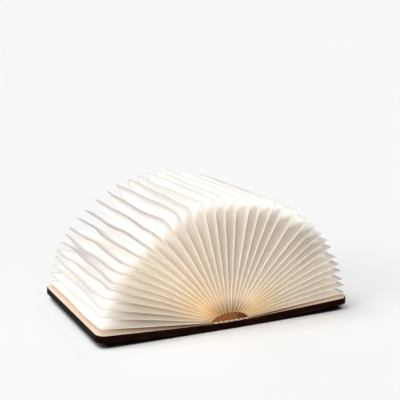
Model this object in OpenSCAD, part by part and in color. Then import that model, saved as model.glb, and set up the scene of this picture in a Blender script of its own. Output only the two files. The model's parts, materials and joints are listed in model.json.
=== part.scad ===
// Folding book lamp: two hinged covers on a narrow spine, and a closed paper bellows that fans out
// between them. X runs across the open book, Y along the spine, Z up; the origin is under the spine.
// Every pleat turns about the hinge axis of its own cover, by its share of that cover's angle.
// Open, the paper hangs a little: the leaves lean unevenly, and their shares are uneven by as much.

/* [Covers] */
// Height of the book along its spine
book_depth = 140; // [110:1:180]
// Hinge axis to fore-edge of each cover
cover_reach = 97.5; // [85:0.5:130]
// Thickness of each cover, endpaper included
cover_t = 5.7; // [5.2:0.1:8]
// Corner radius at the fore-edge, seen from above
cover_corner_r = 7.5; // [3:0.5:15]
// Angle by which each cover's fore-edge stands up from the table
cover_tilt = 2.8; // [0:0.1:6]
// Thickness of the leather skin
wrap_t = 0.8; // [0.7:0.05:1]
// Width of the leather rim that shows around the endpaper
rim_w = 0.6; // [0.4:0.1:1.5]
// Thickness of the endpaper sheet
endpaper_t = 0.6; // [0.3:0.1:1]

/* [Spine] */
// Spine centre to each hinge axis
hinge_x = 13; // [12.5:0.5:18]
// Free gap between the spine's side and a cover's round edge
hinge_gap = 0.5; // [0.4:0.05:1]
// Height of the spine's case
spine_h = 5.6; // [5.6:0.05:5.75]
// Chamfer along the spine's lower edges
spine_chamfer = 0.8; // [0.8:0.1:1.2]
// Thickness of the joint leather that bridges each hinge
joint_t = 0.4; // [0.3:0.05:0.5]
// Overlap of the joint leather on the spine
joint_on_spine = 3; // [2:0.5:4]
// Overlap of the joint leather on a cover
joint_on_cover = 6; // [4:0.5:12]
// Height of the joint leather above the table
joint_lift = 0.1; // [0.05:0.05:0.15]

/* [Bellows] */
// Number of pleats on each side of the spine
pleats = 17; // [17]
// Distance from a cover's edges in to the pleats
pleat_inset = 2.1; // [1:0.1:6]
// Radius of a pleat's two outer corners
pleat_corner_r = 7; // [4:0.5:20]
// Thickness of a doubled sheet at a pleat
pleat_t = 0.25; // [0.15:0.01:0.3]
// Depth of the valley folds between two pleats, at their outer edges
valley_depth = 22; // [14:1:30]
// Depth of the valley folds at the root
valley_root_depth = 6; // [4:0.5:12]
// Radius of a valley fold's two outer corners
valley_corner_r = 4.5; // [3:0.5:8]
// Width of the band in which a valley's wall is joined to its pleat
valley_band = 1.5; // [1:0.1:3]

/* [Root arch] */
// Half width of the arched sleeve that carries the pleats' roots
arch_half = 15.7; // [15.4:0.1:17]
// Rise of the arch above the covers
arch_rise = 6.5; // [5:0.1:9]
// Thickness of the translucent sleeve
sleeve_t = 0.3; // [0.2:0.05:0.5]
// Thickness of the woven end flaps
flap_t = 0.8; // [0.5:0.1:1.5]

/* [Light unit] */
// Wall of the light tray
tray_wall = 0.8; // [0.6:0.05:1]
// Floor of the light tray
tray_floor = 0.5; // [0.4:0.05:0.6]
// Battery cell width, length and thickness
battery_size = [13, 52, 2.4]; // [0.1:0.1:60]
// Control board width, length and thickness
control_size = [8.8, 38, 0.6]; // [0.1:0.1:60]
// Light strip board width
strip_w = 15; // [12:0.1:15.5]
// Light strip board thickness
strip_t = 0.6; // [0.4:0.1:0.6]
// Free space at each end of the light strip board
strip_gap = 1; // [0.5:0.1:4]
// End of the light strip to the centre of a screw
boss_from_end = 3; // [2:0.1:5]
// Light chip length, width and height
chip_size = [3.5, 2.8, 0.5]; // [0.1:0.1:4]
// Number of light chips
chips = 10; // [4:1:14]
// Thickness of the diffuser plate
diffuser_t = 0.4; // [0.3:0.05:0.4]
// Charging socket width, depth and height
socket_size = [8.94, 7.35, 3.16]; // [0.1:0.01:10]
// Wall of the charging socket's shell
socket_wall = 0.3; // [0.2:0.05:0.4]
// Screw thread radius
screw_r = 0.6; // [0.5:0.05:0.7]
// Screw head radius
screw_head_r = 1.2; // [1:0.05:1.4]
// Screw head height
screw_head_h = 0.45; // [0.3:0.05:0.5]
// Screw boss radius
boss_r = 1.5; // [1.3:0.05:1.8]

/* [Magnets] */
// Radius of the cover magnets
magnet_r = 4; // [2:0.5:5]
// Thickness of the cover magnets
magnet_t = 2; // [1:0.1:2.6]
// Fore-edge to the centre of a cover magnet
magnet_in = 12; // [8:0.5:20]
// Book end to the centre of a cover magnet
magnet_from_end = 25; // [12:1:50]
// Radius of the small magnet that works the sensor
trigger_r = 2.5; // [1.5:0.5:4]
// Thickness of the small magnet
trigger_t = 1.5; // [1:0.1:2.5]

/* [Clearances] */
// Play around parts that drop into a pocket
pocket_gap = 0.1; // [0.05:0.01:0.2]
// Glue line between a valley wall and its pleat
glue_gap = 0.02; // [0.01:0.01:0.05]
// Free space between the outermost valley fold and the endpaper
stack_gap = 0.2; // [0.1:0.05:0.3]
// Free space between the sleeve and a pleat's root
root_gap = 0.1; // [0.05:0.05:0.3]
// Play between a screw and its pilot bore
pilot_gap = 0.02; // [0.01:0.01:0.03]

/* [Hidden] */
$fn = 48;
cut = 1;                                   // how far a cutting tool runs past what it cuts
half_depth = book_depth / 2;
edge_r = cover_t / 2;                      // a cover's hinge edge is fully round
hinge_z = edge_r;
closing_angle = 90 - cover_tilt;           // from the open rest to the closed book
joint_rebate = joint_t + joint_lift;
round_relief = edge_r * sin(cover_tilt);   // room over the flat leather under a tilted round edge

// Covers, in their own flat frame: the hinge axis is Y, the endpaper faces up
board_floor = wrap_t - edge_r;
board_top = edge_r - endpaper_t;
endpaper_x = arch_half - hinge_x - sleeve_t;   // the endpaper starts under the sleeve's foot
magnet_x = cover_reach - magnet_in;
magnet_y = half_depth - magnet_from_end;

// Spine and light unit
spine_half = hinge_x - edge_r - hinge_gap;
tray_half = spine_half - wrap_t - pocket_gap;
tray_half_depth = half_depth - wrap_t - pocket_gap;
tray_z = wrap_t + tray_floor;              // upper face of the tray's floor
bay_half = tray_half - tray_wall;          // free half width inside the tray
bay_half_depth = tray_half_depth - tray_wall;
control_y = tray_half_depth - pocket_gap;  // rear end of the control board
strip_z = tray_z + battery_size.z + 2 * pocket_gap;
diffuser_z = spine_h - diffuser_t;
boss_x = strip_w / 2 - screw_head_r;
strip_y0 = strip_gap - bay_half_depth;
strip_y1 = half_depth - socket_size.y - strip_gap;   // the strip leaves room for the socket at the rear
boss_ys = [strip_y0 + boss_from_end, strip_y1 - boss_from_end];
battery_y = boss_ys[0] + boss_r + strip_gap + battery_size.y / 2;
chip_pitch = (strip_y1 - strip_y0 - 4 * boss_from_end) / chips;
socket_z = tray_z + control_size.z + socket_size.z / 2;
socket_tongue = [6.7, 4.45, 0.7];          // width, length and thickness
sensor_size = [3, 2, 0.9];
sensor_in = [0.5, 3];                      // from the control board's corner to the sensor
sensor_y = control_y - control_size.y + sensor_in.y;
screw_len = strip_z - tray_z;

// Root arch: half an ellipse standing on the covers
arch_z = hinge_z + (arch_half - hinge_x) * sin(cover_tilt) + edge_r * cos(cover_tilt) + pocket_gap;
sleeve_half_depth = half_depth - pleat_inset - flap_t / 2;

// Bellows: in the closed book every pleat stands upright, stack_half from the middle to the last one
pleat_half_depth = half_depth - pleat_inset;
stack_half = hinge_x - edge_r - stack_gap;
root_a = arch_half + root_gap;
root_b = arch_rise + root_gap;

// How far each leaf leans from its even place toward its cover, in gaps between two leaves
lean = [
    [0.1, 0, 0.1, 0.1, 0.2, 0.5, 0.8, 1.2, 1.3, 1.4, 1.3, 1, 0.8, 0.6, 0.3, 0.1, 0],
    [0, 0.3, 0.5, 0.6, 0.7, 1.3, 1.6, 1.7, 1.6, 1.5, 1.4, 1.3, 1.3, 1, 0.7, 0.4, 0.1],
];

// Part of its cover's turn that pleat k on side s makes
function share(s, k) = (k - 0.5 + lean[s < 0 ? 0 : 1][k - 1]) / pleats;
function turn(f) = f * closing_angle;
// A point of the closed book, at x from the middle and z up, when the book stands open
function opened(f, x, z) = let (a = turn(f), u = x - hinge_x, v = z - hinge_z)
    [hinge_x + u * cos(a) + v * sin(a), hinge_z - u * sin(a) + v * cos(a)];
// Height in the closed book of the point where a leaf's plane leaves the arch
function root_z(f) = let (
        p = opened(f, f * stack_half, hinge_z),
        u = [p.x / root_a, (p.y - arch_z) / root_b],
        v = [sin(turn(f)) / root_a, cos(turn(f)) / root_b],
        b = u * v, c = u * u - 1)
    hinge_z + (sqrt(b * b - (v * v) * c) - b) / (v * v);

// Length of a pleat from its root to its mountain fold
pleat_len = cover_reach - pleat_inset - (root_z(1) - hinge_z);

module to_side(s) {
    if (s < 0) mirror([1, 0, 0]) children();
    else children();
}

// An outline in X and Z, carried along the spine
module along_spine(length) {
    rotate([90, 0, 0]) linear_extrude(length, center = true) children();
}

module bar(x0, x1, half_y, z0, z1) {
    translate([x0, -half_y, z0]) cube([x1 - x0, 2 * half_y, z1 - z0]);
}

module at_cover(s) {
    to_side(s) translate([hinge_x, 0, hinge_z]) rotate([0, -cover_tilt, 0]) children();
}

// Plan of a cover or endpaper: square at the hinge, rounded at the fore-edge
module cover_plan(x0, x1, half_y, r) {
    translate([x0, -half_y]) square([x1 - r - x0, 2 * half_y]);
    translate([x0, r - half_y]) square([x1 - x0, 2 * (half_y - r)]);
    for (s = [-1, 1]) translate([x1 - r, s * (half_y - r)]) circle(r);
}

// A cover's block with everything set in by the skin's thickness
module cover_block(skin, z0, z1) {
    r = edge_r - skin;
    intersection() {
        translate([0, 0, z0]) linear_extrude(z1 - z0)
            cover_plan(-edge_r, cover_reach - skin, half_depth - skin, cover_corner_r - skin);
        along_spine(book_depth) union() {
            circle(r);
            translate([0, z0]) square([cover_reach, z1 - z0]);
        }
    }
}

module endpaper_sheet(play) {
    translate([0, 0, board_top]) linear_extrude(endpaper_t + (play > 0 ? cut : 0))
        cover_plan(endpaper_x - play, cover_reach - rim_w + play,
                   half_depth - rim_w + play, cover_corner_r - rim_w + play);
}

module cover_wrap(s) {
    color([0.10, 0.06, 0.05]) at_cover(s) difference() {
        cover_block(0, -edge_r, edge_r);
        cover_block(wrap_t, board_floor, board_top);
        endpaper_sheet(glue_gap);
        bar(-cut / 2, joint_on_cover, half_depth + cut, -edge_r - cut, joint_rebate - edge_r);
        bar(-edge_r - cut, 0, half_depth + cut, -edge_r - cut, joint_rebate - edge_r + round_relief);
    }
}

module cover_board(s) {
    color([0.62, 0.48, 0.34]) at_cover(s) difference() {
        cover_block(wrap_t + glue_gap, board_floor + glue_gap, board_top - glue_gap);
        for (y = [-magnet_y, magnet_y]) translate([magnet_x, y, board_top - magnet_t - 2 * glue_gap])
            cylinder(h = magnet_t + cut, r = magnet_r + pocket_gap);
        if (s < 0) translate([joint_on_cover + trigger_r, sensor_y, board_top - trigger_t - 2 * glue_gap])
            cylinder(h = trigger_t + cut, r = trigger_r + pocket_gap);
    }
}

module endpaper(s) {
    color([0.93, 0.80, 0.68]) at_cover(s) endpaper_sheet(0);
}

module cover_magnets(s) {
    color("silver") at_cover(s) for (y = [-magnet_y, magnet_y])
        translate([magnet_x, y, board_top - magnet_t - glue_gap]) cylinder(h = magnet_t, r = magnet_r);
}

module trigger_magnet() {
    color("silver") at_cover(-1) translate([joint_on_cover + trigger_r, sensor_y, board_top - trigger_t - glue_gap])
        cylinder(h = trigger_t, r = trigger_r);
}

// Joint leather: flat under the spine's edge, then following the cover's tilt
module joint_leather(s) {
    lo = edge_r - joint_lift;
    hi = edge_r - joint_rebate + glue_gap;
    lean = [cos(cover_tilt), sin(cover_tilt)];
    across = [-lean.y, lean.x];
    reach = joint_on_cover - glue_gap;
    axis = [hinge_x, hinge_z];
    color([0.12, 0.07, 0.06]) to_side(s) along_spine(book_depth - 2 * joint_lift) polygon([
        [spine_half - joint_on_spine + glue_gap, joint_lift],
        [hinge_x, joint_lift],
        axis + reach * lean - lo * across,
        axis + reach * lean - (hi + 2 * glue_gap) * across,
        [hinge_x, joint_rebate - 2 * glue_gap],
        [spine_half - joint_on_spine + glue_gap, joint_rebate - 2 * glue_gap],
    ]);
}

module socket_outline(grow) {
    r = socket_size.z / 2;
    for (s = [-1, 1]) translate([s * (socket_size.x / 2 - r), 0]) circle(r + grow);
    square([socket_size.x - 2 * r, 2 * (r + grow)], center = true);
}

module socket_opening() {
    translate([0, half_depth + cut, socket_z]) rotate([90, 0, 0])
        linear_extrude(2 * cut + 2 * (wrap_t + tray_wall)) socket_outline(pocket_gap);
}

module spine_wrap() {
    color([0.10, 0.06, 0.05]) difference() {
        along_spine(book_depth) polygon([
            [spine_chamfer - spine_half, 0], [spine_half - spine_chamfer, 0],
            [spine_half, spine_chamfer], [spine_half, spine_h],
            [-spine_half, spine_h], [-spine_half, spine_chamfer],
        ]);
        bar(wrap_t - spine_half, spine_half - wrap_t, half_depth - wrap_t, wrap_t, spine_h + cut);
        for (s = [-1, 1]) to_side(s)
            bar(spine_half - joint_on_spine, spine_half + cut, half_depth + cut, -cut, joint_rebate);
        socket_opening();
    }
}

module spine_tray() {
    color([0.86, 0.86, 0.84]) difference() {
        union() {
            difference() {
                bar(-tray_half, tray_half, tray_half_depth, wrap_t, diffuser_z - glue_gap);
                bar(-bay_half, bay_half, bay_half_depth, tray_z, spine_h);
            }
            for (x = [-boss_x, boss_x], y = boss_ys) translate([x, y, tray_z - glue_gap])
                cylinder(h = strip_z - tray_z, r = boss_r);
        }
        for (x = [-boss_x, boss_x], y = boss_ys) translate([x, y, tray_z])
            cylinder(h = strip_z, r = screw_r + pilot_gap);
        socket_opening();
    }
}

module battery() {
    color([0.75, 0.77, 0.80]) translate([0, battery_y, tray_z])
        translate([-battery_size.x / 2, -battery_size.y / 2, 0]) cube(battery_size);
}

module control_board() {
    color([0.10, 0.35, 0.22]) translate([-control_size.x / 2, control_y - tray_wall - control_size.y, tray_z])
        cube(control_size);
}

module charging_socket() {
    color("silver") translate([0, half_depth, socket_z]) rotate([90, 0, 0]) {
        difference() {
            linear_extrude(socket_size.y) socket_outline(0);
            translate([0, 0, -cut]) linear_extrude(socket_size.y + cut - socket_wall) socket_outline(-socket_wall);
        }
        translate([0, 0, socket_size.y - socket_wall - socket_tongue.y])
            linear_extrude(socket_tongue.y + socket_wall / 2)
                square([socket_tongue.x, socket_tongue.z], center = true);
    }
}

module hall_sensor() {
    color([0.08, 0.08, 0.08])
        translate([sensor_in.x - control_size.x / 2, sensor_y, tray_z + control_size.z])
            cube(sensor_size);
}

module light_strip() {
    color([0.95, 0.95, 0.92]) difference() {
        translate([-strip_w / 2, strip_y0, strip_z]) cube([strip_w, strip_y1 - strip_y0, strip_t]);
        for (x = [-boss_x, boss_x], y = boss_ys) translate([x, y, strip_z - cut])
            cylinder(h = strip_t + 2 * cut, r = screw_r + pocket_gap);
    }
}

module light_chips() {
    color([1, 0.85, 0.45]) for (i = [0 : chips - 1])
        translate([-chip_size.y / 2, (strip_y0 + strip_y1 - chip_size.x) / 2 + (i - (chips - 1) / 2) * chip_pitch,
                   strip_z + strip_t])
            cube([chip_size.y, chip_size.x, chip_size.z]);
}

module strip_screws() {
    color("silver") for (x = [-boss_x, boss_x], y = boss_ys) translate([x, y, 0]) {
        translate([0, 0, tray_z + pilot_gap]) cylinder(h = screw_len + strip_t, r = screw_r);
        translate([0, 0, strip_z + strip_t]) cylinder(h = screw_head_h, r = screw_head_r);
    }
}

module diffuser() {
    color([0.97, 0.97, 0.93]) bar(-tray_half, tray_half, tray_half_depth, diffuser_z, spine_h);
}

module half_ellipse(a, b) {
    intersection() {
        scale([1, b / a]) circle(a, $fn = 96);
        translate([-a, 0]) square([2 * a, b]);
    }
}

module light_sleeve() {
    color([0.98, 0.96, 0.90]) translate([0, 0, arch_z]) along_spine(2 * sleeve_half_depth) difference() {
        half_ellipse(arch_half, arch_rise);
        half_ellipse(arch_half - sleeve_t, arch_rise - sleeve_t);
    }
}

module end_flap(s) {
    color([0.48, 0.33, 0.20]) translate([0, s * (sleeve_half_depth + flap_t / 2 + glue_gap), arch_z])
        along_spine(flap_t) half_ellipse(arch_half, arch_rise);
}

// One pleat: a doubled leaf of paper with rounded outer corners
module pleat(s, k) {
    f = share(s, k);
    r = pleat_corner_r;
    z0 = root_z(f);
    color([0.98, 0.97, 0.94]) to_side(s)
        translate([hinge_x, 0, hinge_z]) rotate([0, turn(f), 0])
        translate([f * stack_half - hinge_x - pleat_t / 2, 0, z0 - hinge_z])
        rotate([0, 0, 90]) rotate([90, 0, 0]) linear_extrude(pleat_t) {
            translate([-pleat_half_depth, 0]) square([2 * pleat_half_depth, pleat_len - r]);
            translate([r - pleat_half_depth, 0]) square([2 * (pleat_half_depth - r), pleat_len]);
            for (y = [-1, 1]) translate([y * (pleat_half_depth - r), pleat_len - r]) circle(r);
        }
}

// A fold seen square on, as Y and height over the root: up the front, round, along the fore-edge and down
function fold_line(inset, root_inset, r) = let (
        half = pleat_half_depth - inset,
        top = pleat_len - inset,
        front = concat([[root_inset - pleat_half_depth, 0]],
                       [for (a = [0 : 45 : 90]) [r - half - r * cos(a), top - r + r * sin(a)]]))
    concat(front, [for (i = [len(front) - 1 : -1 : 0]) [-front[i].x, front[i].y]]);

// Rails of a wall, all in the closed book's place for the share f: on a leaf's face and in the valley
function leaf_rail(f, x, inset) = [f, x, fold_line(inset, inset, pleat_corner_r - inset)];
function valley_rail(f, x, inset) =
    [f, x, fold_line(valley_depth + inset, valley_root_depth + inset, valley_corner_r)];

// A wall that is swept round the pleat: its section joins one point of every rail
module wall(rails) {
    n = len(rails);
    rings = len(rails[0][2]);
    points = [for (i = [0 : rings - 1]) for (rail = rails)
        let (p = opened(rail[0], rail[1], root_z(rail[0]) + rail[2][i].y)) [p.x, rail[2][i].x, p.y]];
    sides = [for (i = [0 : rings - 2]) for (j = [0 : n - 1]) let (k = (j + 1) % n)
        each [[i * n + j, i * n + k, (i + 1) * n + k], [i * n + j, (i + 1) * n + k, (i + 1) * n + j]]];
    ends = [for (j = [0 : n - 3]) each [
        [n - 1, j + 1, j], [rings * n - 1, (rings - 1) * n + j, (rings - 1) * n + j + 1]]];
    polyhedron(points, concat(sides, ends), convexity = 6);
}

// The V between two leaves, from the edge of one down to the valley fold and up to the edge of the other
module valley(f0, f1) {
    face = pleat_t / 2 + glue_gap;
    middle = (f0 + f1) / 2;
    wall([
        leaf_rail(f0, f0 * stack_half + face, 0),
        leaf_rail(f0, f0 * stack_half + face, valley_band),
        valley_rail(middle, middle * stack_half, valley_band),
        leaf_rail(f1, f1 * stack_half - face, valley_band),
        leaf_rail(f1, f1 * stack_half - face, 0),
        valley_rail(middle, middle * stack_half, 0),
    ]);
}

// Half of a V, from a leaf's edge to a valley in the plane of share f
module half_valley(f, x, leaf_f, leaf_x) {
    rails = [
        leaf_rail(leaf_f, leaf_x, 0),
        leaf_rail(leaf_f, leaf_x, valley_band),
        valley_rail(f, x, valley_band),
        valley_rail(f, x, 0),
    ];
    wall(f > leaf_f ? rails : [rails[3], rails[2], rails[1], rails[0]]);
}

module valley_folds(s) {
    face = pleat_t / 2 + glue_gap;
    first = share(s, 1);
    last = share(s, pleats);
    color([0.96, 0.94, 0.90]) to_side(s) {
        half_valley(0, glue_gap / 2, first, first * stack_half - face);
        for (k = [1 : pleats - 1]) valley(share(s, k), share(s, k + 1));
        half_valley(1, stack_half, last, last * stack_half + face);
    }
}

spine_wrap();
spine_tray();
battery();
control_board();
charging_socket();
hall_sensor();
light_strip();
light_chips();
strip_screws();
diffuser();
light_sleeve();
end_flap(-1);  // front_end_flap
end_flap(1);  // rear_end_flap
cover_wrap(-1);  // left_cover_wrap
cover_board(-1);  // left_cover_board
endpaper(-1);  // left_endpaper
cover_magnets(-1);  // left_magnets
joint_leather(-1);  // left_joint_leather
cover_wrap(1);  // right_cover_wrap
cover_board(1);  // right_cover_board
endpaper(1);  // right_endpaper
cover_magnets(1);  // right_magnets
joint_leather(1);  // right_joint_leather
trigger_magnet();
valley_folds(-1);  // left_valley_folds
valley_folds(1);  // right_valley_folds
for (k = [1 : pleats]) {
    number = str(k < 10 ? "0" : "", k);
    pleat(-1, k);
    pleat(1, k);
}
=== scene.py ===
import json
import math

import bpy
import numpy as np
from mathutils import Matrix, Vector


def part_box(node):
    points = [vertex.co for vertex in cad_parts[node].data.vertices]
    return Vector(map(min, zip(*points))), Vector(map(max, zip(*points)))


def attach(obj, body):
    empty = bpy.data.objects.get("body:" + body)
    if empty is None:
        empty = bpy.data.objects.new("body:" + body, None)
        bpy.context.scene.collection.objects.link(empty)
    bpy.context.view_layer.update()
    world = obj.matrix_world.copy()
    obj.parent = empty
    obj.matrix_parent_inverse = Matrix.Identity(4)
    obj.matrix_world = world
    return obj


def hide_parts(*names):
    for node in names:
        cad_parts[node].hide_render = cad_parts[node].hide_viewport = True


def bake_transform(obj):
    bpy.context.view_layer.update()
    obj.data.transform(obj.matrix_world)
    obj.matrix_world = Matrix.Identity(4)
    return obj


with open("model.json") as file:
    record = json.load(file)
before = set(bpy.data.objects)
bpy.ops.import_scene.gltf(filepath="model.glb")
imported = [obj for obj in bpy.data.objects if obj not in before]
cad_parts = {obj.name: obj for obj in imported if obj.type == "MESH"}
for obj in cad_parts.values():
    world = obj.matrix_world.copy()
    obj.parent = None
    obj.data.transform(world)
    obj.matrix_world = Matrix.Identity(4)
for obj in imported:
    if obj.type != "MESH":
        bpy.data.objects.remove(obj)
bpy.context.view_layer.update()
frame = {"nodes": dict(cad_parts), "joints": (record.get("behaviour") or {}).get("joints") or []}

# The folding book lamp's looks. Lengths are in millimetres until a mesh is made, in the frame's axes:
# X across the open book, Y along the spine, Z up.
MM = 0.001
SIDES = {"left": -1, "right": 1}

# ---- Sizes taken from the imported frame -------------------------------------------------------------

right_hinge = next(j for j in frame["joints"] if j["name"] == "right_hinge")
hinge_x = right_hinge["pos_m"][0] / MM
hinge_z = right_hinge["pos_m"][2] / MM
closing = math.radians(right_hinge["range_deg"][1])      # from the open rest to the closed book
tilt = math.pi / 2 - closing                             # how far each cover leans up from the table
edge_r = hinge_z                                         # a cover is two edge radii thick
half_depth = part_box("right_cover_wrap")[1].y / MM
cover_reach = (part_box("right_cover_wrap")[1].x / MM - hinge_x) / math.cos(tilt)
spine_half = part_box("spine_wrap")[1].x / MM
spine_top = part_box("spine_wrap")[1].z / MM
arch_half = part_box("front_end_flap")[1].x / MM
arch_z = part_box("front_end_flap")[0].z / MM
arch_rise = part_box("front_end_flap")[1].z / MM - arch_z
flap_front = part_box("front_end_flap")[0].y / MM
flap_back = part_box("front_end_flap")[1].y / MM
pleat_half_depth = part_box("right_pleat_01")[1].y / MM

# ---- Sizes repeated from the part's source ---------------------------------------------------------

pleats = 17                 # on each side of the spine
stack_half = 9.95           # middle of the closed book to its outermost leaf
root_gap = 0.1              # between the arch and a leaf's root
cover_corner_r = 7.5
endpaper_t = 0.6
rim_w = 0.6
joint_rebate = 0.5
joint_on_spine = 3.0
joint_on_cover = 6.0
joint_t = 0.4
joint_lift = 0.1
valley_inset = 22.0         # how far a valley fold lies inside its mountain folds
valley_root_inset = 6.0     # the same at the root
valley_corner_r = 4.5
# How far each leaf's edge leans from its even place, toward its cover, in gaps between two leaves
LEAN = {
    "left": (0.1, 0.0, 0.1, 0.1, 0.2, 0.5, 0.8, 1.2, 1.3, 1.4, 1.3, 1.0, 0.8, 0.6, 0.3, 0.1, 0.0),
    "right": (0.0, 0.3, 0.5, 0.6, 0.7, 1.3, 1.6, 1.7, 1.6, 1.5, 1.4, 1.3, 1.3, 1.0, 0.7, 0.4, 0.1),
}

# ---- Sizes of the paper work -----------------------------------------------------------------------

paper_t = 0.14
corner_r = {"left": (3.5, 7.0, 3.5), "right": (2.5, 2.5, 3.0)}      # of the first, middle and last pleat
corner_pleats = (1, 7, pleats)             # which pleats those are
lean_power = {"left": 2.0, "right": 0.5}   # the left pleats sag in a curve, the right ones lean from the root
# Slow waves of the leaves: height in gaps between two leaves, length / 2 pi, and shift from leaf to leaf
WAVES = ((0.10, 24, 2.4), (0.06, 11, 1.7))
wave_pleats, wave_levels = (1, 8, 13, pleats), (0.5, 1.0, 1.0, 0.4)        # how strong they are by pleat
tuck = 1.6                  # a panel runs this many panel widths from the mountain fold, past the valley

# ---- Sizes of the arch -----------------------------------------------------------------------------

sleeve_t = 0.25
sleeve_inset = 0.15         # middle of the sleeve's wall, inside the arch
flap_past = 0.15            # how far a flap's foot reaches past the arch
weave_along, weave_up = 3.3, 2.4           # size of the flaps' diagonal weave, along X and up
weave_relief = 0.06         # half the height of its threads
knot_rise = 0.35            # how far a flap's upper edge stands up at a knot
tooth_pitch = 4.5           # of the teeth in the lining's edge under a flap
tooth_shift = 0.2           # how far the first tooth lies from the middle, in pitches
tooth_half = 0.43           # half a tooth's length, in pitches
thread_start, thread_end = 0.36, 0.44      # pitches from a tooth's middle between which a thread darkens
low_half, tooth_swell = 0.1, 0.45          # half height of this edge at a thread, and what a tooth adds
lining_sink = 0.2           # of the lining's edge into the spine's top
lining_back, lining_front = 0.3, 0.75      # its edges lie behind the flap's face and behind the spine's end

# ---- Sizes of the leather work ---------------------------------------------------------------------

upper_round = 0.5           # radius of the leather where it turns over a board's upper edge
lower_round = 1.2           # the same at the lower edge
pocket_lap = 0.3            # how far the endpaper's pocket starts before the arch's foot
fit_gap = 0.02              # between two surfaces that lie on each other
roll_gap = 0.03             # between the joint leather's roll and the cover's round edge
roll_start, roll_end = -125, -228          # degrees round the hinge, up its side toward the spine
strip_inner = 0.48          # height of the joint leather's upper face under the spine's edge
strip_rise = 2.5            # height up to which it stands against the spine's side


# ==== Meshes ========================================================================================

def link(name, mesh):
    """A new object in the scene for the mesh."""
    piece = bpy.data.objects.new(name, mesh)
    bpy.context.scene.collection.objects.link(piece)
    return piece


def grid_faces(rows, columns, closed):
    """Corner numbers of the cells of a grid: each point joins its next in the row and in the column."""
    across = columns if closed else columns - 1
    i, j = np.meshgrid(np.arange(rows - 1), np.arange(across), indexing="ij")
    here = i * columns + j
    beside = i * columns + (j + 1) % columns
    return np.stack([here, beside, beside + columns, here + columns], -1).reshape(-1, 4)


def grid_piece(name, points, marks=None, closed=False, caps=False, flip=False, uv=None, crease=None):
    """A piece from a grid of points (rows, columns, xyz) in millimetres. Marks are values given at every
    point, kept as attributes; closed joins each row's last point to its first; caps closes the first and
    last row; flip turns the faces over; edges bent by more than crease degrees stay sharp."""
    rows, columns = points.shape[:2]
    faces = grid_faces(rows, columns, closed).tolist()
    if caps:
        faces += [list(range(columns))[::-1], list(range((rows - 1) * columns, rows * columns))]
    if flip:
        faces = [face[::-1] for face in faces]
    mesh = bpy.data.meshes.new(name)
    mesh.from_pydata((points.reshape(-1, 3) * MM).tolist(), [], faces)
    for key, values in (marks or {}).items():
        layer = mesh.attributes.new(key, "FLOAT", "POINT")
        layer.data.foreach_set("value", np.broadcast_to(values, (rows, columns)).astype(np.float32).ravel())
    if uv is not None:
        corners = np.zeros(len(mesh.loops), np.int32)
        mesh.loops.foreach_get("vertex_index", corners)
        layer = mesh.uv_layers.new(name="UVMap")
        layer.data.foreach_set("uv", uv.reshape(-1, 2)[corners].astype(np.float32).ravel())
    mesh.shade_smooth()
    if crease is not None:
        mesh.set_sharp_from_angle(angle=math.radians(crease))
    mesh.validate()
    mesh.update()
    return link(name, mesh)


def spread_values(value, low, high):
    """The value's place between low and high, from 0 to 1."""
    return np.clip((value - low) / (high - low), 0, 1)


def thicken(piece, thickness):
    """Gives a sheet its wall, half to each side."""
    wall = piece.modifiers.new("thickness", "SOLIDIFY")
    wall.thickness = thickness * MM
    wall.offset = 0.0


def dress(piece, material):
    """Gives a piece its material."""
    piece.data.materials.append(material)
    return piece


# ==== The camera ====================================================================================

CAMERA_PLACE = (-305.99, -658.47, 241.54)
CAMERA_AIM = (5.92, 0.05, 89.64)
CAMERA_LENS = 79.94
CAMERA_SENSOR = 36.0


def make_camera():
    """The camera looks from the left front and a little from above."""
    place = Vector(CAMERA_PLACE) * MM
    aim = Vector(CAMERA_AIM) * MM
    camera = bpy.data.objects.new("camera", bpy.data.cameras.new("camera"))
    camera.data.sensor_width = CAMERA_SENSOR
    camera.data.lens = CAMERA_LENS
    camera.location = place
    camera.rotation_mode = "QUATERNION"
    camera.rotation_quaternion = (aim - place).to_track_quat("-Z", "Y")
    bpy.context.scene.collection.objects.link(camera)
    bpy.context.scene.camera = camera


make_camera()


# ==== Nodes of a material ===========================================================================

def feed(tree, socket, value):
    """Gives a socket its value: a link where the value is an output, and otherwise a constant."""
    if isinstance(value, bpy.types.NodeSocket):
        tree.links.new(value, socket)
    else:
        socket.default_value = value


def put(tree, kind, inputs=None, **settings):
    """A new node: its settings are set, and each input takes a constant or a link."""
    made = tree.nodes.new(kind)
    for key, value in settings.items():
        setattr(made, key, value)
    for key, value in (inputs or {}).items():
        feed(tree, made.inputs[key], value)
    return made


def new_group(name, inputs, outputs):
    """An empty shader node group; inputs are (name, socket kind, value) rows, outputs (name, socket kind)."""
    tree = bpy.data.node_groups.new(name, "ShaderNodeTree")
    for label, kind, value in inputs:
        socket = tree.interface.new_socket(label, in_out="INPUT", socket_type=kind)
        if value is not None:
            socket.default_value = value
    for label, kind in outputs:
        tree.interface.new_socket(label, in_out="OUTPUT", socket_type=kind)
    return tree, tree.nodes.new("NodeGroupInput").outputs, tree.nodes.new("NodeGroupOutput").inputs


def use(tree, group, inputs):
    """Places a node group in a material, and returns its outputs."""
    return put(tree, "ShaderNodeGroup", inputs, node_tree=group).outputs


def math_node(tree, operation, a, b=0.0):
    """One arithmetic step on constants or links."""
    return put(tree, "ShaderNodeMath", {0: a, 1: b}, operation=operation).outputs[0]


def plus(tree, a, b):
    return math_node(tree, "ADD", a, b)


def minus(tree, a, b):
    return math_node(tree, "SUBTRACT", a, b)


def times(tree, a, b):
    return math_node(tree, "MULTIPLY", a, b)


def over(tree, a, b):
    return math_node(tree, "DIVIDE", a, b)


def larger(tree, a, b):
    return math_node(tree, "MAXIMUM", a, b)


def rest_of(tree, value):
    """What is left of 1 once the value is taken from it."""
    return minus(tree, 1.0, value)


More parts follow.
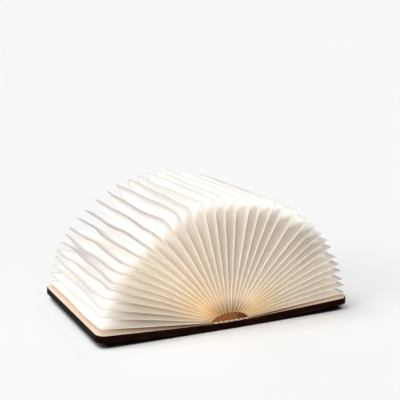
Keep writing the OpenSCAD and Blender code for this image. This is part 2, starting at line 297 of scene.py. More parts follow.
def spread(tree, value, low, high):
    """The value's place between low and high, eased at both ends, from 0 to 1."""
    made = put(tree, "ShaderNodeMapRange", {"Value": value, "From Min": low, "From Max": high},
               interpolation_type="SMOOTHSTEP")
    return made.outputs["Result"]


def scaled(tree, vector, factor):
    """A colour or vector, each of its parts times the factor."""
    return put(tree, "ShaderNodeVectorMath", {0: vector, "Scale": factor}, operation="SCALE").outputs[0]


def added(tree, a, b):
    """The sum of two colours or vectors."""
    return put(tree, "ShaderNodeVectorMath", {0: a, 1: b}, operation="ADD").outputs[0]


def blend_colour(tree, factor, a, b, mode="MIX"):
    """Colour a where the factor is 0, and b laid over it where it is 1."""
    return put(tree, "ShaderNodeMix", {0: factor, 6: a, 7: b}, data_type="RGBA", blend_type=mode).outputs[2]


def ramp(tree, factor, stops):
    """A colour ramp through (place, colour) stops."""
    made = put(tree, "ShaderNodeValToRGB", {"Fac": factor})
    elements = made.color_ramp.elements
    while len(elements) < len(stops):
        elements.new(0.5)
    for element, (place, colour) in zip(elements, stops):
        element.position = place
        element.color = rgba(colour)
    return made.outputs["Color"]


def srgb(red, green, blue):
    """A colour written as screen values from 0 to 255, as the linear values that a shader takes."""
    shares = (red / 255, green / 255, blue / 255)
    return tuple(((c + 0.055) / 1.055) ** 2.4 if c > 0.04 else c / 12.92 for c in shares)


def rgba(colour):
    """The colour as a socket takes it, fully opaque."""
    return (*colour, 1.0)


def new_material(name, **values):
    """A material with its Principled shader's own values set; returns it, its tree and the shader."""
    material = bpy.data.materials.new(name)
    material.use_nodes = True
    tree = material.node_tree
    shader = tree.nodes["Principled BSDF"]
    for key, value in values.items():
        shader.inputs[key.replace("_", " ")].default_value = value
    return material, tree, shader


def object_place(tree):
    """The piece's own coordinates, in metres."""
    return put(tree, "ShaderNodeTexCoord").outputs["Object"]


def mark(tree, name):
    """The value that a mesh carries under this name at each point."""
    return put(tree, "ShaderNodeAttribute", attribute_name=name).outputs["Fac"]


def bump(tree, shader, height, distance, strength):
    """Lets a height of 1 stand out by the distance in millimetres."""
    made = put(tree, "ShaderNodeBump", {"Height": height, "Distance": distance * MM, "Strength": strength})
    feed(tree, shader.inputs["Normal"], made.outputs["Normal"])


# ==== Effects that several materials share ==========================================================

def make_fibres():
    """Paper: short fibres from stretched noise, a cloudy formation, and their height."""
    tree, given, result = new_group("paper_fibres", [
        ("Place", "NodeSocketVector", None),
        ("Colour", "NodeSocketColor", (0.9, 0.9, 0.9, 1)),
        ("Cloud", "NodeSocketFloat", 0.03),
        ("Fibre", "NodeSocketFloat", 0.03),
    ], [("Colour", "NodeSocketColor"), ("Height", "NodeSocketFloat")])
    place = given["Place"]
    cloud = put(tree, "ShaderNodeTexNoise", {"Vector": place, "Scale": 180.0, "Detail": 3.0}).outputs["Fac"]
    fibre = put(tree, "ShaderNodeTexWave", {"Vector": place, "Scale": 260.0, "Distortion": 14.0,
                                            "Detail": 3.0, "Detail Scale": 2.0}).outputs["Fac"]
    cloudy = times(tree, minus(tree, cloud, 0.5), given["Cloud"])
    fibrous = times(tree, minus(tree, fibre, 0.5), given["Fibre"])
    shade = plus(tree, plus(tree, cloudy, fibrous), 1.0)
    feed(tree, result["Colour"], scaled(tree, given["Colour"], shade))
    feed(tree, result["Height"], plus(tree, times(tree, cloud, 0.6), fibre))
    return tree


def make_grain():
    """Leather: pebbles from cells with fine pores between them, a colour that varies in patches and is worn
    in patches along the marked edges, and their height."""
    tree, given, result = new_group("leather_grain", [
        ("Place", "NodeSocketVector", None),
        ("Colour", "NodeSocketColor", (0.03, 0.015, 0.01, 1)),
        ("Pebble", "NodeSocketFloat", 900.0),
        ("Edge", "NodeSocketFloat", 0.0),
        ("Worn Colour", "NodeSocketColor", (0.09, 0.05, 0.03, 1)),
    ], [("Colour", "NodeSocketColor"), ("Height", "NodeSocketFloat"), ("Roughness", "NodeSocketFloat")])
    place = given["Place"]
    cells = put(tree, "ShaderNodeTexVoronoi", {"Vector": place, "Scale": given["Pebble"]})
    pebble = cells.outputs["Distance"]
    pore = put(tree, "ShaderNodeTexNoise", {"Vector": place, "Scale": 2600.0, "Detail": 4.0}).outputs["Fac"]
    patch = put(tree, "ShaderNodeTexNoise", {"Vector": place, "Scale": 70.0, "Detail": 3.0}).outputs["Fac"]
    rubbed = times(tree, given["Edge"], spread(tree, patch, 0.35, 0.65))
    colour = blend_colour(tree, rubbed, given["Colour"], given["Worn Colour"])
    feed(tree, result["Colour"], scaled(tree, colour, plus(tree, times(tree, patch, 0.5), 0.75)))
    feed(tree, result["Height"], plus(tree, times(tree, pebble, -0.8), times(tree, pore, 0.4)))
    feed(tree, result["Roughness"], plus(tree, times(tree, pebble, 0.25), 0.42))
    return tree


fibres = make_fibres()
grain = make_grain()


def finish_paper(tree, shader, place, colour, cloud, fibre):
    """Lays the fibres over a paper's colour, and lets them stand out a little."""
    paper = use(tree, fibres, {"Place": place, "Colour": colour, "Cloud": cloud, "Fibre": fibre})
    feed(tree, shader.inputs["Base Color"], paper["Colour"])
    bump(tree, shader, paper["Height"], 0.05, 0.5)


# ==== The bellows' paper ============================================================================

# Colours of the paper
FORE_EDGE = (0.86, 0.85, 0.83)            # at the folds of the fore-edges, a little darker than toward the valleys: painted shade
FORE_SHADE_GREY = (0.56, 0.51, 0.495)      # painted shade, greyer, at the folds over the left cover and at the tips over the right one
FORE_WHITE = (0.90, 0.885, 0.865)         # toward the valleys
FORE_CREASE_SHADE = (0.45, 0.43, 0.41)          # painted shade: the grey line on the fold
END_PAPER_SHADED = (0.80, 0.745, 0.675)          # at the ends of the book, darker and warmer than the fore-edges: painted shade
END_SHADE_GREY = (0.66, 0.61, 0.555)            # painted shade, greyer, far out at the upper right
END_GLOW_SHADE = (0.73, 0.64, 0.47)             # painted warm glow with shade, near the root over the right cover
GROOVE_SHADE = (0.30, 0.17, 0.09)               # painted shade in the grooves between the fold lines just above the arch

# Light painted into the paper: the lamp's glow from the root, and painted light on the folds, the ends and
# the fore-edges
FOLD_LIGHT = (0.20, 0.155, 0.11)          # painted highlight of the fold lines at the ends
FORE_LIGHT = (0.15, 0.147, 0.142)         # painted light of the fore-edges, clearing their shade toward the valleys
GLOW = (                                  # by the distance from the root, 0, to the fore-edge, 1
    (0.0, (0.40, 0.24, 0.08)),
    (0.15, (0.27, 0.18, 0.075)),
    (0.4, (0.065, 0.042, 0.018)),
    (1.0, (0.015, 0.012, 0.008)),
)
GLOW_SHARE = (                            # what shows of it, from the left cover, 0, to the right one, 1: less at the covers and in the middle, as painted shade
    (0.0, 0.1), (0.03, 0.25), (0.07, 0.5), (0.2, 0.75), (0.4, 0.52),
    (0.5, 0.32), (0.6, 0.35), (0.75, 0.55), (0.88, 0.5), (1.0, 0.3),
)
END_LIGHT = (                             # painted light through the ends of the book, from cover to cover in the same way
    (0.0, (0.0, 0.0, 0.0)),
    (0.06, (0.02, 0.019, 0.015)),
    (0.14, (0.10, 0.094, 0.078)),
    (0.25, (0.14, 0.13, 0.11)),
    (0.36, (0.08, 0.07, 0.06)),
    (0.5, (0.03, 0.025, 0.02)),
    (0.65, (0.01, 0.008, 0.004)),
    (0.8, (0.04, 0.037, 0.03)),
    (1.0, (0.06, 0.055, 0.045)),
)


def make_pleat_paper():
    """White paper with painted light and shade. The lamp's glow from its root fades with the distance from
    the spine and is strongest over the covers. At the ends, painted darker than the fore-edges, each fold
    shows as a painted light line, and every second line runs down to the root, with painted brown shade in
    the grooves beside it. On the fore-edges over the left cover each fold shows as a painted grey shade line,
    from which the paper clears to white toward the valleys; at the upper right only its tip is painted grey."""
    material, tree, shader = new_material("pleat_paper", Roughness=0.75, Emission_Strength=1.0)
    reach = mark(tree, "reach")            # from 0 at the root to 1 at the fore-edge
    turn = mark(tree, "turn")              # from -1 at the left cover over 0 at the middle to 1 at the right
    from_fold = mark(tree, "from_fold")    # millimetres from the mountain fold
    kept = mark(tree, "kept")              # 1 where the fold's line runs down to the root

    # Regions of the fan
    over_left = rest_of(tree, spread(tree, turn, -0.35, -0.05))
    low_left = rest_of(tree, spread(tree, turn, -0.95, -0.6))
    upper_left = minus(tree, spread(tree, turn, -0.62, -0.48), spread(tree, turn, -0.45, -0.2))
    upper_right = minus(tree, spread(tree, turn, 0.2, 0.5), spread(tree, turn, 0.5, 0.75))

    # The fore-edges, whose white runs softly into the ends over the left cover and stops sharply elsewhere
    soft_top = times(tree, times(tree, spread(tree, reach, 0.6, 1.05), 0.8), over_left)
    top_start = plus(tree, times(tree, spread(tree, turn, 0.1, 0.5), 0.09), 0.9)
    past_start = spread(tree, minus(tree, reach, top_start), 0.0, 0.025)
    sharp_top = times(tree, past_start, rest_of(tree, over_left))
    fore = larger(tree, mark(tree, "fore"), plus(tree, soft_top, sharp_top))
    ends = rest_of(tree, fore)

    # The fold's line, narrower toward the root
    widening = larger(tree, spread(tree, reach, 0.0, 0.4), times(tree, kept, 0.7))
    line_width = plus(tree, times(tree, widening, 0.65), 0.35)
    on_fold = rest_of(tree, spread(tree, over(tree, from_fold, line_width), 0.3, 0.9))
    crease = times(tree, on_fold, larger(tree, kept, spread(tree, reach, 0.1, 0.3)))

    # Colour of the fore-edges: painted shade, grey at each fold over the left cover and at the tips over the
    # right one, clearing to white toward the valleys, more slowly at the upper left
    left_fold_shade = times(tree, over_left, rest_of(tree, times(tree, low_left, 0.6)))
    tips = times(tree, spread(tree, turn, 0.42, 0.6), 0.85)
    edge_tone = blend_colour(tree, larger(tree, left_fold_shade, tips), rgba(FORE_EDGE), rgba(FORE_SHADE_GREY))
    cleared = over(tree, from_fold, plus(tree, times(tree, upper_left, 0.4), 1.0))
    fore_tone = blend_colour(tree, spread(tree, cleared, -1.0, 8.0), edge_tone, rgba(FORE_WHITE))

    # Colour of the ends: painted shade, greyer far out at the upper right, and painted warm glow with shade
    # near the root over the right cover
    far_right_shade = times(tree, spread(tree, reach, 0.6, 0.95), upper_right)
    near_right_glow = times(tree, rest_of(tree, spread(tree, reach, 0.1, 0.5)), spread(tree, turn, 0.35, 0.7))
    end_tone = blend_colour(tree, far_right_shade, rgba(END_PAPER_SHADED), rgba(END_SHADE_GREY))
    end_tone = blend_colour(tree, near_right_glow, end_tone, rgba(END_GLOW_SHADE))

    # Both together, with painted shade: the grey lines on the folds of the fore-edges and the brown grooves
    # above the arch
    plain = blend_colour(tree, fore, end_tone, fore_tone)
    crease_shade = times(tree, times(tree, crease, fore), 0.7)
    crease_shaded = blend_colour(tree, crease_shade, plain, rgba(FORE_CREASE_SHADE))
    near_root = rest_of(tree, spread(tree, reach, 0.0, 0.15))
    off_middle = spread(tree, math_node(tree, "ABSOLUTE", turn), 0.4, 0.75)
    between = minus(tree, 0.95, times(tree, crease, 0.8))
    groove_shade = times(tree, times(tree, near_root, between), rest_of(tree, times(tree, off_middle, 0.65)))
    groove_shaded = blend_colour(tree, groove_shade, crease_shaded, rgba(GROOVE_SHADE))
    finish_paper(tree, shader, object_place(tree), groove_shaded, 0.05, 0.02)

    # Painted light: the lamp's glow from the root, highlights along the folds' lines, and light through the
    # ends and from the fore-edges
    across = plus(tree, times(tree, turn, 0.5), 0.5)
    share = ramp(tree, across, [(place, (value,) * 3) for place, value in GLOW_SHARE])
    from_root = scaled(tree, ramp(tree, reach, GLOW), share)
    lined = scaled(tree, FOLD_LIGHT, times(tree, crease, ends))
    through = times(tree, ends, spread(tree, reach, 0.1, 0.5))
    end_light = scaled(tree, ramp(tree, across, END_LIGHT), through)
    clear = plus(tree, spread(tree, cleared, 1.0, 12.0), times(tree, low_left, 0.3))
    fore_light = scaled(tree, FORE_LIGHT, times(tree, fore, clear))
    glowing = added(tree, added(tree, from_root, lined), added(tree, end_light, fore_light))
    feed(tree, shader.inputs["Emission Color"], glowing)
    return material


# ==== The other finishes ============================================================================

def make_leather(name, colour, worn):
    """Dark grained leather, rubbed where the mesh is marked as an edge."""
    material, tree, shader = new_material(name, Specular_IOR_Level=0.02)
    hide = use(tree, grain, {"Place": object_place(tree), "Colour": rgba(colour), "Worn Colour": rgba(worn),
                             "Edge": mark(tree, "edge")})
    feed(tree, shader.inputs["Base Color"], hide["Colour"])
    feed(tree, shader.inputs["Roughness"], hide["Roughness"])
    bump(tree, shader, hide["Height"], 0.12, 0.6)
    return material


def make_sheet_paper(name, colour, inner=None):
    """A sheet of paper, its colour turning toward the spine to the inner one, a painted shade where it is
    given.
    """
    material, tree, shader = new_material(name, Roughness=0.8)
    place = object_place(tree)
    across = math_node(tree, "ABSOLUTE", put(tree, "ShaderNodeSeparateXYZ", {"Vector": place}).outputs["X"])
    outward = spread(tree, across, 20 * MM, 95 * MM)
    spine_shaded = blend_colour(tree, outward, rgba(inner or colour), rgba(colour))
    finish_paper(tree, shader, place, spine_shaded, 0.08, 0.04)
    return material


def make_plain(name, colour, roughness, metallic=0.0, mottle=0.08):
    """A moulded or metal finish: a faint mottle in its colour and its gloss."""
    material, tree, shader = new_material(name, Metallic=metallic)
    cloud = put(tree, "ShaderNodeTexNoise", {"Vector": object_place(tree), "Scale": 300.0, "Detail": 3.0})
    swing = times(tree, minus(tree, cloud.outputs["Fac"], 0.5), mottle)
    feed(tree, shader.inputs["Base Color"], scaled(tree, colour, plus(tree, swing, 1.0)))
    feed(tree, shader.inputs["Roughness"], plus(tree, swing, roughness))
    bump(tree, shader, cloud.outputs["Fac"], 0.03, 0.4)
    return material


def make_weave():
    """Brown webbing in diamonds between dark diagonal threads, with painted shade darkening it toward the
    right cover; UV runs in millimetres along and up the flap."""
    material, tree, shader = new_material("woven_flap", Roughness=0.85, Specular_IOR_Level=0.2)
    uv = put(tree, "ShaderNodeUVMap", uv_map="UVMap").outputs["UV"]
    axes = put(tree, "ShaderNodeSeparateXYZ", {"Vector": uv}).outputs
    along = times(tree, axes["X"], 2 * math.pi / weave_along)
    up = times(tree, axes["Y"], 2 * math.pi / weave_up)
    ridge_a = math_node(tree, "SINE", plus(tree, along, up))
    ridge_b = math_node(tree, "SINE", minus(tree, along, up))
    thread = larger(tree, ridge_a, ridge_b)
    in_thread = spread(tree, thread, 0.35, 1.0)
    woven = blend_colour(tree, in_thread, rgba(srgb(194, 124, 64)), rgba(srgb(14, 5, 1)))
    # Painted shade: the webbing darkens toward the right cover.
    right_shade = spread(tree, axes["X"], 3.5, 9.0)
    colour = blend_colour(tree, right_shade, woven, rgba((0.50, 0.38, 0.34)), mode="MULTIPLY")
    feed(tree, shader.inputs["Base Color"], colour)
    bump(tree, shader, thread, -0.2, 0.8)
    return material


def make_lining():
    """The endpaper's colour, dark brown where the edge sinks at each thread: the flap's fabric colour with
    painted shade, in the notches between the teeth.
    """
    material, tree, shader = new_material("lining_edge", Roughness=0.85, Specular_IOR_Level=0.2)
    colour = blend_colour(tree, mark(tree, "thread"), rgba(srgb(226, 196, 172)), rgba(srgb(48, 24, 10)))
    finish_paper(tree, shader, object_place(tree), colour, 0.1, 0.05)
    return material


pleat_paper = make_pleat_paper()
cover_leather = make_leather("cover_leather", srgb(20, 6, 3), srgb(52, 22, 13))
# The endpaper darkens to warm brown toward the spine: painted shade under the leaves.
endpaper_finish = make_sheet_paper("endpaper", srgb(242, 222, 201), srgb(148, 114, 84))
sleeve_finish = make_sheet_paper("sleeve_paper", srgb(246, 226, 190))
woven_finish = make_weave()
lining_finish = make_lining()
board_finish = make_plain("cover_board", srgb(190, 160, 120), 0.9, mottle=0.3)
tray_finish = make_plain("tray_plastic", srgb(222, 222, 216), 0.45)
foil_finish = make_plain("battery_foil", srgb(190, 194, 200), 0.3, metallic=0.9)
circuit_finish = make_plain("green_board", srgb(28, 92, 58), 0.35)
white_board_finish = make_plain("white_board", srgb(240, 240, 234), 0.4)
steel_finish = make_plain("socket_steel", srgb(200, 202, 205), 0.25, metallic=1.0)
sensor_finish = make_plain("sensor_plastic", srgb(30, 30, 32), 0.4)
chip_finish = make_plain("light_chip", srgb(250, 214, 120), 0.35)
diffuser_finish = make_plain("diffuser_plastic", srgb(246, 244, 236), 0.5)
magnet_finish = make_plain("magnet", srgb(196, 198, 202), 0.22, metallic=1.0)

CAD_FINISHES = {
    "spine_wrap": cover_leather, "spine_tray": tray_finish, "battery": foil_finish,
    "control_board": circuit_finish, "charging_socket": steel_finish, "hall_sensor": sensor_finish,
    "light_strip": white_board_finish, "light_chips": chip_finish, "strip_screws": steel_finish,
    "diffuser": diffuser_finish, "left_cover_board": board_finish, "right_cover_board": board_finish,
    "left_endpaper": endpaper_finish, "right_endpaper": endpaper_finish,
    "left_magnets": magnet_finish, "right_magnets": magnet_finish, "trigger_magnet": magnet_finish,
}
for node_name, finish in CAD_FINISHES.items():
    for material_slot in frame["nodes"][node_name].material_slots:
        material_slot.material = finish


# ==== The bellows ===================================================================================

root_a = arch_half + root_gap
root_b = arch_rise + root_gap


def opened(f, x, z):
    """A point of the closed book, x from its middle and z up, turned open by the share f about the hinge."""
    turn = f * closing
    u = x - hinge_x
    v = z - hinge_z
    return hinge_x + u * np.cos(turn) + v * np.sin(turn), hinge_z - u * np.sin(turn) + v * np.cos(turn)


def root_z(f):
    """Height in the closed book at which the leaf of share f leaves the elliptical arch: the larger root of
    the quadratic equation of its line and the ellipse."""
    x, z = opened(f, f * stack_half, hinge_z)
    ux, uz = x / root_a, (z - arch_z) / root_b
    vx, vz = np.sin(f * closing) / root_a, np.cos(f * closing) / root_b
    uv, vv, c = ux * vx + uz * vz, vx * vx + vz * vz, ux * ux + uz * uz - 1
    return hinge_z + (np.sqrt(uv * uv - vv * c) - uv) / vv


pleat_inset = half_depth - pleat_half_depth
pleat_len = cover_reach - pleat_inset - (root_z(1.0) - hinge_z)

EDGE_STEPS, CORNER_STEPS, FORE_STEPS = 22, 10, 40
# 0 along the front and back, 1 along the fore-edge, easing round the corners
FORE = np.concatenate([np.zeros(EDGE_STEPS), np.linspace(0, 1, CORNER_STEPS), np.ones(FORE_STEPS),
                       np.linspace(1, 0, CORNER_STEPS), np.zeros(EDGE_STEPS)])


def fold_line(inset, root_inset, radius):
    """A fold seen square on, as y and distance from the root: up the front, round a quarter circle,
    along the fore-edge, round another and down the back. At the root it starts at root_inset."""
    half = pleat_half_depth - inset
    top = pleat_len - inset
    up = np.linspace(0, 1, EDGE_STEPS, endpoint=False)
    bend = np.linspace(0, math.pi / 2, CORNER_STEPS, endpoint=False)
    run = np.linspace(-1, 1, FORE_STEPS) * (half - radius)
    front_y = np.concatenate([root_inset - pleat_half_depth + (inset - root_inset) * up,
                              -half + radius - radius * np.cos(bend)])
    front_r = np.concatenate([up * (top - radius), top - radius + radius * np.sin(bend)])
    y = np.concatenate([front_y, run, -front_y[::-1]])
    r = np.concatenate([front_r, np.full(FORE_STEPS, top), front_r[::-1]])
    return y, r


def drift(side, k, y, r):
    """How far leaf k strays from its even place, as a share of the turn: the lean of the whole leaf, which
    grows from the root, and a slow wave along the spine, which grows with the square of the distance. The
    wave is the sum of two sines of y, each shifted from leaf to leaf."""
    far = np.clip(r / pleat_len, 0, 1)
    wave = sum(height * np.sin(y / length + shift * k) for height, length, shift in WAVES)
    wave *= np.interp(k, wave_pleats, wave_levels)
    return (far ** lean_power[side] * LEAN[side][k - 1] + far ** 2 * wave) / pleats


def valley_drift(side, k, neighbour, y, r):
    """The drift of the valley fold between leaf k and its neighbour: halfway between the two leaves, and
    none in the middle of the book and on the endpaper, where the valley is glued down."""
    if neighbour < 1 or neighbour > pleats:
        return np.zeros_like(y)
    return (drift(side, k, y, r) + drift(side, neighbour, y, r)) / 2


# Columns of a pleat: -1 is the inner valley fold, 0 the mountain fold and 1 the outer valley fold
ACROSS = np.array([-tuck, -1.3, -1.0, -0.75, -0.5, -0.25, -0.04, 0.0, 0.04, 0.25, 0.5, 0.75, 1.0, 1.3, tuck])


def fold_piece(side, k):
    """One pleat of the bellows: a ruled sheet from the valley fold on its inner side, over the mountain
    fold and down to the valley fold on its outer side, and a little past both."""
    s = SIDES[side]
    v = ACROSS[(ACROSS >= -1) | (k > 1)]
    v = v[(v <= 1) | (k < pleats)]
    part = np.abs(v)[:, None]
    mountain_y, mountain_r = fold_line(0.0, 0.0, np.interp(k, corner_pleats, corner_r[side]))
    valley_y, valley_r = fold_line(valley_inset, valley_root_inset, valley_corner_r)
    y = mountain_y + part * (valley_y - mountain_y)
    r = mountain_r + part * (valley_r - mountain_r)
    stray = drift(side, k, y, r)
    inner, outer = valley_drift(side, k, k - 1, y, r), valley_drift(side, k, k + 1, y, r)
    neighbour = np.where(v[:, None] < 0, inner, outer)
    even = (k - 0.5 + v[:, None] / 2) / pleats
    f = even + stray + part * (neighbour - stray)
    x, z = opened(f, f * stack_half, root_z(even) + r)
    from_fold = part * np.hypot(valley_y - mountain_y, valley_r - mountain_r)
    marks = {"reach": r / pleat_len, "from_fold": from_fold, "turn": s * even, "fore": FORE, "kept": k % 2}
    return grid_piece(f"{side}_fold_{k:02d}", np.stack([s * x, y, z], -1), marks, flip=s < 0, crease=35)


def bend_with_cover(piece):
    """Bakes the piece's place into its mesh."""
    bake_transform(piece)


for side in SIDES:
    for k in range(1, pleats + 1):
        fold = dress(fold_piece(side, k), pleat_paper)
        thicken(fold, paper_t)
        bend_with_cover(fold)
        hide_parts(f"{side}_pleat_{k:02d}")
        if k == 1:
            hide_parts(f"{side}_valley_folds")


# ==== The root arch =================================================================================

def sleeve_half(side):
    """Half of the arched sleeve: a quarter ellipse from the crown to the foot, carried along Y."""
    s = SIDES[side]
    turn = np.linspace(0, math.pi / 2, 24)
    x = s * (arch_half - sleeve_inset) * np.sin(turn)
    z = arch_z + (arch_rise - sleeve_inset) * np.cos(turn)
    y = np.linspace(flap_back, -flap_back, 24)[:, None]
    points = np.stack([x + 0 * y, y + 0 * x, z + 0 * y], -1)
    return grid_piece(f"{side}_sleeve_half", points, flip=s < 0)


def flap_piece(name, side, y_out, y_in):
    """Half of an end flap: a plate under a quarter ellipse, whose height swells by the size of a sine at
    each knot of the weave. It stands on the spine's top and reaches down beside it. Its face stands out by
    the larger of two sines, of along plus up and of along less up, which cross in a diagonal weave."""
    s = SIDES[side]
    outward = np.sign(y_out)
    columns = np.linspace(0, 1, 61)
    x = (arch_half + flap_past) * np.sin(columns * math.pi / 2)
    knots = knot_rise * np.abs(np.sin(x * math.pi / weave_along))
    top = (arch_rise + knots) * np.cos(columns * math.pi / 2)
    base = (spine_top - arch_z) * np.clip((hinge_x - edge_r - x) / 0.5, 0, 1)
    up = np.linspace(0, 1, 25)[:, None]
    height = base + up * (top - base)
    along, rise = x * 2 * math.pi / weave_along, height * 2 * math.pi / weave_up
    thread = np.maximum(np.sin(along + rise), np.sin(along - rise))
    relief = weave_relief * (thread - 1)
    front = np.stack([s * x + 0 * up, y_out + outward * relief, arch_z + height], -1)
    back = np.stack([s * x + 0 * up, np.full_like(height, y_in), arch_z + height], -1)
    points = np.concatenate([front, back[::-1]])
    uv = np.stack([points[..., 0], points[..., 2]], -1)
    return grid_piece(name, points, flip=s * outward > 0, uv=uv, crease=40)


def fold_at_cover(piece):
    """Bakes half an arch's place into its mesh."""
    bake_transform(piece)


def lining_edge(name, side, y_face):
    """Half of the lining's edge under a flap: a low strip on the spine's top, a rounded rectangle carried
    along X, whose height swells to a soft tooth between two threads and sinks at each thread."""
    s = SIDES[side]
    outward = np.sign(y_face)
    x = s * np.linspace(0, arch_half - 0.05, 121)[:, None]
    phase = (x / tooth_pitch - tooth_shift + 0.5) % 1 - 0.5
    swell = np.sqrt(np.clip(1 - (phase / tooth_half) ** 6, 0, 1))
    turn = np.linspace(0, 2 * math.pi, 16, endpoint=False)
    wide = np.sign(np.cos(turn)) * np.abs(np.cos(turn)) ** 0.6
    tall = np.sign(np.sin(turn)) * np.abs(np.sin(turn)) ** 0.6
    half_tall = low_half + tooth_swell * swell
    y_far = half_depth - lining_front
    y_near = abs(y_face) - lining_back
    y = outward * ((y_far + y_near) / 2 + (y_far - y_near) / 2 * wide)
    z = arch_z - lining_sink + half_tall * (1 + tall)
    points = np.stack([x - 0.35 * tall, y + 0 * x, z], -1)
    marks = {"thread": spread_values(np.abs(phase), thread_start, thread_end)}
    return grid_piece(name, points, marks, closed=True, caps=True, flip=s * outward < 0)


for side in SIDES:
    sleeve = dress(sleeve_half(side), sleeve_finish)
    thicken(sleeve, sleeve_t)
    fold_at_cover(sleeve)
    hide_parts("light_sleeve")
    for end, y_out, y_in in (("front", flap_front, flap_back), ("rear", -flap_front, -flap_back)):
        flap = dress(flap_piece(f"{side}_{end}_flap", side, y_out, y_in), woven_finish)
        fold_at_cover(flap)
        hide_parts(f"{end}_end_flap")
        edge = dress(lining_edge(f"{side}_{end}_lining_edge", side, y_out), lining_finish)
        fold_at_cover(edge)


# ==== The covers ====================================================================================

def cover_frame(side, x, y, z):
    """Points of a flat cover, x from the hinge axis to the fore-edge, leaned up about the hinge."""
    s = SIDES[side]
    lean_x = hinge_x + x * math.cos(tilt) - z * math.sin(tilt)
    lean_z = hinge_z + x * math.sin(tilt) + z * math.cos(tilt)
    return np.stack([s * lean_x, y, lean_z], -1)


def plan_half(x, end, half, radius):
    """Half width at each x of a plan with rounded outer corners: full, and less by a quarter circle's sink
    over the last radius before the end."""
    into = np.clip(x - (end - radius), 0, radius)
    return half - radius + np.sqrt(radius ** 2 - into ** 2)


def turned_edge(x, radius):
    """How far a face sinks near the fore-edge, where the leather turns round a quarter circle."""
    into = np.clip(x - (cover_reach - radius), 0, radius)
    return radius - np.sqrt(radius ** 2 - into ** 2)


def skin_rings(pocket_x):
    """The places of the rings of a cover's skin, from the round hinge edge over the two edges of the
    endpaper's pocket to the fore-edge. Where the skin has a step, two rings lie at one place."""
    hinge_part = -edge_r * np.cos(np.linspace(0, math.pi / 2, 12))
    flat_part = np.linspace(8, cover_reach - cover_corner_r, 30)
    corner_part = cover_reach - cover_corner_r + cover_corner_r * np.sin(np.linspace(0, 1.42, 24)[1:])
    edge_part = cover_reach - lower_round * (1 - np.sin(np.linspace(0, math.pi / 2, 9)))
    steps = [pocket_x[0], joint_on_cover, pocket_x[1]]
    return np.sort(np.concatenate([hinge_part[hinge_part < -0.5], [-0.4, 0.6, 1.5, 4.0], flat_part,
                                   corner_part, edge_part, [cover_reach], steps, steps]))


def cover_skin(side):
    """The leather skin of a cover, as rings round it at each x. A ring runs across the pocket for the
    endpaper, over the rim, round the top edge, down the side, round the lower edge and back below; the
    first ring closes on the round hinge edge and the last on the fore-edge."""
    pocket_x = np.array([arch_half - hinge_x - pocket_lap, cover_reach - rim_w])
    x = skin_rings(pocket_x)
    first = np.concatenate([[True], np.diff(x) > 0])     # of two rings at one x, the second is past a step
    past = np.where(first, x - 1e-6, x + 1e-6)
    round_z = np.sqrt(np.clip(edge_r ** 2 - np.minimum(x, 0) ** 2, 0, None))
    top = round_z - turned_edge(x, upper_round)
    base = np.where(past < joint_on_cover, np.minimum(round_z, edge_r - joint_rebate), edge_r)
    low = -np.minimum(round_z, base) + turned_edge(x, lower_round)
    low[-1] = top[-1] = (low[-1] + top[-1]) / 2
    half = plan_half(x, cover_reach, half_depth, cover_corner_r)
    pocket_half = plan_half(np.clip(x, None, pocket_x[1]), pocket_x[1], half_depth - rim_w,
                            cover_corner_r - rim_w)
    in_pocket = (past > pocket_x[0]) & (past < pocket_x[1])
    floor = np.where(in_pocket, edge_r - endpaper_t - fit_gap, top)
    thick = top - low
    r_top = np.minimum(upper_round, thick / 2)
    r_low = np.minimum(lower_round, thick / 2)
    upper = np.linspace(0, math.pi / 2, 5)
    lower = np.linspace(0, math.pi / 2, 7)
    # Across the pocket and up its wall
    y_parts = [pocket_half * q for q in (0.0, 0.5, 1.0, 1.0)]
    z_parts = [floor, floor, floor, top]
    worn = [0.0, 0.0, 0.2, 0.5]
    # Round the upper edge
    y_parts += [half - r_top + r_top * math.sin(q) for q in upper]
    z_parts += [top - r_top + r_top * math.cos(q) for q in upper]
    worn += [0.8, 1.0, 1.0, 0.8, 0.5]
    # Down the side
    y_parts += [half] * 2
    z_parts += [top - r_top - (thick - r_top - r_low) * q for q in (0.3, 0.7)]
    worn += [0.1, 0.1]
    # Round the lower edge
    y_parts += [half - r_low + r_low * math.cos(q) for q in lower]
    z_parts += [low + r_low - r_low * math.sin(q) for q in lower]
    worn += [0.4, 0.8, 1.0, 1.0, 0.8, 0.5, 0.3]
    # Back below
    y_parts += [(half - r_low) * q for q in (0.96, 0.5, 0.0)]
    z_parts += [low] * 3
    worn += [0.0, 0.0, 0.0]
    y_side, z_side = np.stack(y_parts, -1), np.stack(z_parts, -1)
    y = np.concatenate([y_side, -y_side[:, -2:0:-1]], 1)
    z = np.concatenate([z_side, z_side[:, -2:0:-1]], 1)
    wear = np.array(worn + worn[-2:0:-1])
    fore = np.clip((x - (cover_reach - lower_round)) / lower_round, 0, 1)[:, None]
    marks = {"edge": np.maximum(wear, np.sin(fore * math.pi) * 0.9)}
    points = cover_frame(side, x[:, None] + 0 * y, y, z)
    return grid_piece(f"{side}_cover_skin", points, marks, closed=True, flip=side == "right", crease=40)


